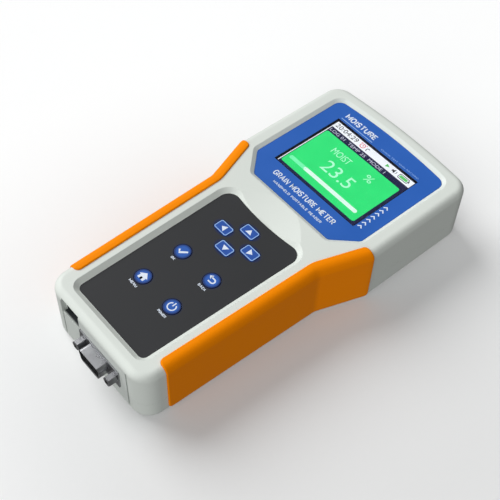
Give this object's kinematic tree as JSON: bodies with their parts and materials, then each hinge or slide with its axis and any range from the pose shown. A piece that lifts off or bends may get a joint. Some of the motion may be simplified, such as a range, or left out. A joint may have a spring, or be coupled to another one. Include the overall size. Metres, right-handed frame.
{
  "type": "grain moisture meter",
  "caption": "Handheld moisture meter with a colour screen head, rubber side grips, a recessed keypad, an end panel with sensor and data ports, and a battery bay in the back.",
  "frame": {"origin": "centre of the bounding box in plan, on the plane of the flat back", "axes": "+Y towards the screen end, +Z out of the screen and keypad, +X to the reader's right"},
  "size_m": [0.1012, 0.2104, 0.0358],
  "materials": {
    "shell_plastic": "fine moulded texture, light warm grey",
    "grip_rubber": "smooth satin orange",
    "overlay_film": "printed blue film",
    "window_clear": "clear",
    "lcd_face": "lit colour screen",
    "bright_steel": "plated",
    "flex_amber": "polyimide",
    "white_plastic": "moulded",
    "keypad_film": "dark grey",
    "key_blue": "printed blue key",
    "black_plastic": "moulded",
    "board_green": "solder mask",
    "panel_plastic": "moulded light grey",
    "contact_gold": "gold flash",
    "cell_wrap": "printed sleeve",
    "wire_insulation": "insulated lead"
  },
  "bodies": {
    "meter": {"front_shell": "shell_plastic", "back_shell": "shell_plastic", "grip_left": "grip_rubber", "grip_right": "grip_rubber", "screen_overlay": "overlay_film", "display_window": "window_clear", "lcd_panel": "lcd_face", "lcd_frame": "bright_steel", "lcd_flex": "flex_amber", "lcd_connector": "white_plastic", "keypad_membrane": "keypad_film", "key_switches": "black_plastic", "main_board": "board_green", "board_chips": "black_plastic", "board_screws": "bright_steel", "end_panel": "panel_plastic", "dsub_shell": "bright_steel", "dsub_insulator": "black_plastic", "dsub_contacts": "contact_gold", "jackscrews": "bright_steel", "usb_shell": "bright_steel", "usb_tongue": "white_plastic", "cell_jackets": "cell_wrap", "cell_caps": "bright_steel", "cell_springs": "bright_steel", "cell_plates": "bright_steel", "battery_leads": "wire_insulation", "case_screws": "bright_steel", "buzzer": "black_plastic"},
    "key_up": {"key_up": "key_blue"},
    "key_down": {"key_down": "key_blue"},
    "key_left": {"key_left": "key_blue"},
    "key_right": {"key_right": "key_blue"},
    "key_enter": {"key_enter": "key_blue"},
    "key_return": {"key_return": "key_blue"},
    "key_menu": {"key_menu": "key_blue"},
    "key_power": {"key_power": "key_blue"},
    "door": {"battery_door": "shell_plastic"}
  },
  "joints": [
    {"name": "key_up_press", "type": "slide", "parent": "meter", "child": "key_up", "axis": [0, 0, -1], "range_m": [0, 0.0004], "stiffness_N_per_m": 1500, "springref_m": -0.0003},
    {"name": "key_down_press", "type": "slide", "parent": "meter", "child": "key_down", "axis": [0, 0, -1], "range_m": [0, 0.0004], "stiffness_N_per_m": 1500, "springref_m": -0.0003},
    {"name": "key_left_press", "type": "slide", "parent": "meter", "child": "key_left", "axis": [0, 0, -1], "range_m": [0, 0.0004], "stiffness_N_per_m": 1500, "springref_m": -0.0003},
    {"name": "key_right_press", "type": "slide", "parent": "meter", "child": "key_right", "axis": [0, 0, -1], "range_m": [0, 0.0004], "stiffness_N_per_m": 1500, "springref_m": -0.0003},
    {"name": "key_enter_press", "type": "slide", "parent": "meter", "child": "key_enter", "axis": [0, 0, -1], "range_m": [0, 0.0004], "stiffness_N_per_m": 1500, "springref_m": -0.0003},
    {"name": "key_return_press", "type": "slide", "parent": "meter", "child": "key_return", "axis": [0, 0, -1], "range_m": [0, 0.0004], "stiffness_N_per_m": 1500, "springref_m": -0.0003},
    {"name": "key_menu_press", "type": "slide", "parent": "meter", "child": "key_menu", "axis": [0, 0, -1], "range_m": [0, 0.0004], "stiffness_N_per_m": 1500, "springref_m": -0.0003},
    {"name": "key_power_press", "type": "slide", "parent": "meter", "child": "key_power", "axis": [0, 0, -1], "range_m": [0, 0.0004], "stiffness_N_per_m": 1500, "springref_m": -0.0003},
    {"name": "battery_door_lift", "type": "slide", "parent": "meter", "child": "door", "axis": [0, 0, -1], "range_m": [0, 0.02]}
  ]
}
